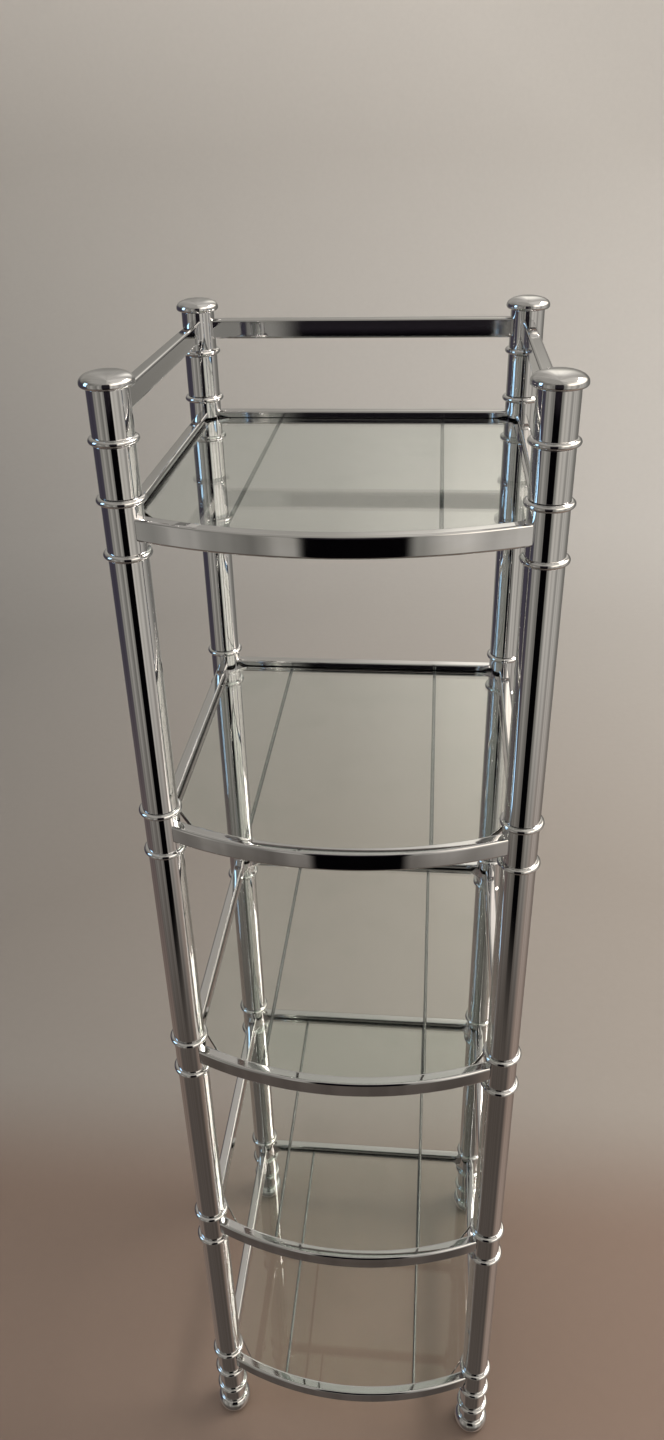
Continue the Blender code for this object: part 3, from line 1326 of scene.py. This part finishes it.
@dataclass(frozen=True)
class SoftBox:
    """Studio light: an even panel that shines one way, and that polished metal and glass show.

    Attributes:
        name: the light's name.
        place: its middle.
        width: its size across.
        height: its size upright.
        glow: brightness of its face.
        tint: its colour.
        aim: the point that it faces.
    """

    name: str
    place: Place
    width: float
    height: float
    glow: float
    tint: str
    aim: Place = (0.0, 0.0, 0.8)

    def build(self) -> None:
        """Hang the light."""
        data = bpy.data.lights.new(self.name, "AREA")
        data.shape = "RECTANGLE"
        data.size = self.width
        data.size_y = self.height
        data.energy = self.glow * math.pi * self.width * self.height
        data.color = linear_colour(self.tint)[:3]
        light = bpy.data.objects.new(self.name, data)
        light.location = self.place
        light.rotation_euler = (Vector(self.aim) - Vector(self.place)).to_track_quat("-Z", "Y").to_euler()
        light.visible_camera = False
        bpy.context.scene.collection.objects.link(light)
        LOG.info("%s: %.1f W", self.name, data.energy)


@dataclass(frozen=True)
class Flag:
    """Dark cloth on a stand that only mirrors see, as it gives polished metal its dark lines.

    Attributes:
        name: the flag's name.
        place: middle of its lower edge.
        width: its size across.
        height: its size upright.
    """

    name: str
    place: Place
    width: float
    height: float

    def build(self) -> None:
        """Stand the flag up, facing the unit."""
        work = bmesh.new()
        # A square of side 1, then stretched to size
        bmesh.ops.create_grid(work, x_segments=1, y_segments=1, size=0.5)
        bmesh.ops.scale(work, vec=(self.width, self.height, 1), verts=work.verts)
        bmesh.ops.rotate(work, cent=(0, 0, 0), matrix=Matrix.Rotation(math.pi / 2, 3, "X"), verts=work.verts)
        middle = Vector(self.place) + Vector((0, 0, self.height / 2))
        bmesh.ops.translate(work, vec=middle, verts=work.verts)
        flag = as_object(self.name, work, FlagCloth(middle=self.place[0]))
        flag.visible_camera = False
        flag.visible_diffuse = False
        flag.visible_shadow = False


@dataclass(frozen=True)
class Cove:
    """Paper cove all round the unit: a level floor that sweeps up into a wall.

    Attributes:
        radius: distance of the wall.
        sweep: radius of the bend between floor and wall.
        wall: height of the wall.
        drop: how far the floor lies below the feet.
        paper: what it is made of.
    """

    radius: float = 3.4
    sweep: float = 1.2
    wall: float = 4.6
    drop: float = 0.0004
    paper: SeamlessPaper = SeamlessPaper()

    def build(self) -> None:
        """Roll the paper out."""
        centre = (self.radius - self.sweep, self.sweep)
        bend = arc_points(centre, (self.sweep, self.sweep), -90, 0, TURN_STEPS // 4)
        outline = [(0.0, 0.0), *bend, (self.radius, self.wall)]
        work = turned(outline, Vector((0, 0, -self.drop)), is_ring=False)
        bmesh.ops.reverse_faces(work, faces=work.faces)
        cove = as_object("paper_cove", work, self.paper)


@dataclass(frozen=True)
class PhotoCamera:
    """Camera at the photograph's viewing angle.

    Attributes:
        place: where it stands.
        tilt: its turn up from looking straight down, in degrees.
        roll: its lean, in degrees.
        pan: its turn to the left, in degrees.
        lens_mm: focal length for the sensor's long side.
        sensor_mm: long side of the sensor.
        near: distance of the nearest thing that it sees.
    """

    place: Place = (0.0665, -0.7882, 1.3358)
    tilt: float = 59.62
    roll: float = 1.22
    pan: float = 5.33
    lens_mm: float = 26.18
    sensor_mm: float = 36.0
    near: float = 0.01

    def build(self) -> None:
        """Set the camera up as the scene's own."""
        data = bpy.data.cameras.new("photo_camera")
        data.lens = self.lens_mm
        data.sensor_width = self.sensor_mm
        data.clip_start = self.near
        camera = bpy.data.objects.new("photo_camera", data)
        camera.location = self.place
        camera.rotation_euler = [math.radians(angle) for angle in (self.tilt, self.roll, self.pan)]
        bpy.context.scene.collection.objects.link(camera)
        bpy.context.scene.camera = camera


class RoomShade(Enum):
    """Surfaces of the room that mirrors see, each with its colour and its glow."""

    # Painted shadow: the ground in front of the unit, darkened as shade
    PAINTED_SHADOW_GROUND = ("#58504a", 1.0)
    GROUND = ("#7c6d63", 1.0)
    LIT_GROUND = ("#a08d80", 1.0)
    SHADOW = ("#44404a", 1.0)
    DIM = ("#77746e", 1.0)
    GREY = ("#8c8982", 1.0)
    PALE = ("#a6a29a", 1.0)
    LIGHT = ("#c0bbb2", 1.0)
    BRIGHT = ("#e0dad0", 1.0)
    SUNLIT = ("#fff9ec", 1.25)
    WINDOW = ("#fff4e4", 2.1)

    @property
    def light(self) -> list[float]:
        """The light that comes from it, as a linear colour."""
        shade, glow = self.value
        return [channel * glow for channel in linear_colour(shade)]


Band = tuple[float, RoomShade]


@dataclass(frozen=True)
class Room:
    """The light from outside the cove: a soft even top for the paper, and a furnished room for mirrors.

    Each ring of the room is a row of bands, as turns in degrees to the right of the front, with the surface
    that is there.

    Attributes:
        top_tint: colour of the light that falls in over the cove's wall.
        top_glow: brightness of that light.
        floor: ring that mirrors see low down.
        walls: ring that they see level with the unit.
        windows: ring that they see above it.
        ceiling: ring that they see overhead.
        floor_span: height angles, in degrees, over which the floor gives way to the walls.
        window_span: the same for walls and windows.
        ceiling_span: the same for windows and ceiling.
        edges: strength of the upright lines in the walls, such as door frames and corners.
        edge_count: how many such lines there are all round.
        edge_detail: how ragged the lines are.
        edge_span: values of the noise between which a line goes from dark to light.
    """

    top_tint: str = "#fffefc"
    top_glow: float = 1.8
    floor: tuple[Band, ...] = (
        (-180.0, RoomShade.GROUND),
        (-80.0, RoomShade.GROUND),
        # Painted shadow on the ground in front of the unit
        (-65.0, RoomShade.PAINTED_SHADOW_GROUND),
        (45.0, RoomShade.PAINTED_SHADOW_GROUND),
        (57.0, RoomShade.GROUND),
        (70.0, RoomShade.LIT_GROUND),
        (100.0, RoomShade.LIT_GROUND),
        (140.0, RoomShade.GROUND),
        (180.0, RoomShade.GROUND),
    )
    walls: tuple[Band, ...] = (
        (-180.0, RoomShade.PALE),
        (-165.0, RoomShade.GREY),
        (-147.0, RoomShade.GREY),
        (-130.0, RoomShade.SHADOW),
        (-74.0, RoomShade.SHADOW),
        (-66.0, RoomShade.GREY),
        (-58.0, RoomShade.GREY),
        (-52.0, RoomShade.PALE),
        (-45.0, RoomShade.PALE),
        (-40.0, RoomShade.GREY),
        (-27.0, RoomShade.DIM),
        (-20.0, RoomShade.PALE),
        (-15.0, RoomShade.PALE),
        (-12.0, RoomShade.GREY),
        (21.0, RoomShade.GREY),
        (28.0, RoomShade.LIGHT),
        (33.0, RoomShade.BRIGHT),
        (40.0, RoomShade.LIGHT),
        (58.0, RoomShade.LIGHT),
        (66.0, RoomShade.PALE),
        (72.0, RoomShade.PALE),
        (78.0, RoomShade.LIGHT),
        (94.0, RoomShade.LIGHT),
        (122.0, RoomShade.GREY),
        (140.0, RoomShade.DIM),
        (160.0, RoomShade.DIM),
        (180.0, RoomShade.PALE),
    )
    windows: tuple[Band, ...] = (
        (-180.0, RoomShade.BRIGHT),
        (-174.0, RoomShade.PALE),
        (-140.0, RoomShade.PALE),
        (-118.0, RoomShade.GREY),
        (-108.0, RoomShade.DIM),
        (-60.0, RoomShade.DIM),
        (24.0, RoomShade.PALE),
        (36.0, RoomShade.WINDOW),
        (134.0, RoomShade.WINDOW),
        (148.0, RoomShade.PALE),
        (166.0, RoomShade.BRIGHT),
        (173.0, RoomShade.SUNLIT),
        (178.0, RoomShade.SUNLIT),
        (180.0, RoomShade.BRIGHT),
    )
    ceiling: tuple[Band, ...] = (
        (-180.0, RoomShade.LIGHT),
        (-125.0, RoomShade.PALE),
        (0.0, RoomShade.PALE),
        (60.0, RoomShade.BRIGHT),
        (120.0, RoomShade.BRIGHT),
        (180.0, RoomShade.LIGHT),
    )
    floor_span: tuple[float, float] = (-52.0, -22.0)
    window_span: tuple[float, float] = (8.0, 24.0)
    ceiling_span: tuple[float, float] = (30.0, 58.0)
    edges: float = 0.1
    edge_count: float = 24.0
    edge_detail: float = 3.0
    edge_span: tuple[float, float] = (0.4, 0.6)

    def ring(
        self, tree: bpy.types.NodeTree, turn: bpy.types.NodeSocket, bands: Sequence[Band]
    ) -> bpy.types.NodeSocket:
        """Colours all round at one level.

        Args:
            tree: the world's node tree.
            turn: share of a full turn, with the front at a half.
            bands: the ring's bands in order.

        Returns:
            The colour at that turn.
        """
        ramp = add_node(tree, "ShaderNodeValToRGB", {"Fac": turn})
        stops = ramp.color_ramp.elements
        while len(stops) < len(bands):
            stops.new(0.0)
        for stop, (angle, shade) in zip(stops, bands):
            stop.position = (angle + FULL_TURN / 2) / FULL_TURN
            stop.color = shade.light
        return ramp.outputs["Color"]

    def uprights(self, tree: bpy.types.NodeTree, turn: bpy.types.NodeSocket) -> bpy.types.NodeSocket:
        """Upright lighter and darker lines round the room.

        Args:
            tree: the world's node tree.
            turn: share of a full turn.

        Returns:
            A factor about 1.
        """
        lines = add_node(
            tree,
            "ShaderNodeTexNoise",
            {"W": turn, "Scale": self.edge_count, "Detail": self.edge_detail},
            noise_dimensions="1D",
        )
        return add_node(
            tree,
            "ShaderNodeMapRange",
            {
                "Value": lines.outputs["Fac"],
                "From Min": self.edge_span[0],
                "From Max": self.edge_span[1],
                "To Min": 1.0 - self.edges,
                "To Max": 1.0 + self.edges,
            },
        ).outputs["Result"]

    def seen_in_mirrors(self, tree: bpy.types.NodeTree) -> bpy.types.NodeSocket:
        """Colour of the room in every direction.

        Args:
            tree: the world's node tree.

        Returns:
            The colour in the direction that a mirror looks.
        """
        around = add_node(tree, "ShaderNodeTexCoord").outputs["Generated"]
        # Depth is flipped, so that a turn of 0 is the front and turns grow to the right
        facing = add_node(tree, "ShaderNodeMapping", {"Vector": around, "Scale": (1.0, -1.0, 1.0)})
        split = add_node(tree, "ShaderNodeSeparateXYZ", {"Vector": facing.outputs["Vector"]}).outputs
        angle = add_node(tree, "ShaderNodeMath", {0: split["X"], 1: split["Y"]}, operation="ARCTAN2")
        turn = add_node(
            tree,
            "ShaderNodeMapRange",
            {"Value": angle.outputs["Value"], "From Min": -math.pi, "From Max": math.pi},
        ).outputs["Result"]
        level = self.ring(tree, turn, self.floor)
        above = (
            (self.floor_span, self.ring(tree, turn, self.walls)),
            (self.window_span, self.ring(tree, turn, self.windows)),
            (self.ceiling_span, self.ring(tree, turn, self.ceiling)),
        )
        for (start, end), colour in above:
            share = add_node(
                tree,
                "ShaderNodeMapRange",
                {
                    "Value": split["Z"],
                    "From Min": math.sin(math.radians(start)),
                    "From Max": math.sin(math.radians(end)),
                },
                interpolation_type="SMOOTHSTEP",
            ).outputs["Result"]
            mixed = add_node(
                tree,
                "ShaderNodeMix",
                {MIX_SHARE: share, MIX_FROM: level, MIX_TO: colour},
                data_type="RGBA",
            )
            level = mixed.outputs[MIX_COLOUR]
        lined = add_node(
            tree, "ShaderNodeVectorMath", {0: level, 1: self.uprights(tree, turn)}, operation="MULTIPLY"
        )
        return lined.outputs["Vector"]

    def build(self) -> None:
        """Make the room the scene's world."""
        world = bpy.data.worlds.new("studio_room")
        world.use_nodes = True
        tree = world.node_tree
        tree.nodes.clear()
        seen = add_node(tree, "ShaderNodeBackground", {"Color": self.seen_in_mirrors(tree)})
        soft = add_node(
            tree,
            "ShaderNodeBackground",
            {"Color": linear_colour(self.top_tint), "Strength": self.top_glow},
        )
        in_mirror = add_node(tree, "ShaderNodeLightPath").outputs["Glossy Depth"]
        mixed = add_node(
            tree,
            "ShaderNodeMixShader",
            {0: in_mirror, 1: soft.outputs["Background"], 2: seen.outputs["Background"]},
        )
        add_node(tree, "ShaderNodeOutputWorld", {"Surface": mixed.outputs["Shader"]})
        bpy.context.scene.world = world


@dataclass(frozen=True)
class Studio:
    """Everything round the unit: the cove, the room outside it, the lights, the flag and the camera.

    Attributes:
        lights: the lamps that light the unit.
        flag: the dark cloth in front of it.
    """

    lights: tuple[SoftBox, ...] = (
        SoftBox(
            name="warm_key",
            place=(1.25, 0.48, 2.2),
            width=0.85,
            height=0.5,
            glow=18.0,
            tint="#fff6ec",
        ),
        SoftBox(
            name="cold_window",
            place=(-1.6, -0.35, 1.5),
            width=0.45,
            height=0.9,
            glow=3.2,
            tint="#a8d6f8",
        ),
    )
    flag: Flag = Flag(name="camera_flag", place=(0.0485, -1.02, -0.8), width=0.62, height=2.6)

    def build(self) -> None:
        """Build the studio."""
        Room().build()
        Cove().build()
        for light in self.lights:
            light.build()
        self.flag.build()
        PhotoCamera().build()
        bpy.context.scene.view_settings.view_transform = "Standard"


def main() -> None:
    """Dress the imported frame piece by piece, and set up the studio round it."""
    logging.basicConfig(level=logging.INFO, format="%(message)s")
    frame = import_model()
    plan = PostPlan.from_frame()
    GalleryFrame(plan, "gallery_frame").build()
    for tier in TIERS:
        shelf = ShelfFrame(plan, f"shelf_frame_{tier}")
        shelf.build()
        GlassPane(shelf, tier).build()
    for corner in Corner:
        FinialCap(plan, corner).build()
        PostLength(plan, corner, f"neck_tube_{corner.value}", is_thin=False).build()
        for tier in TIERS[:-1]:
            PostLength(plan, corner, f"post_tube_{tier}_{corner.value}", is_thin=True).build()
        TurnedFoot(plan, corner).build()
    JoiningStuds().dress(frame["nodes"])
    Studio().build()


if __name__ == "__main__":
    main()
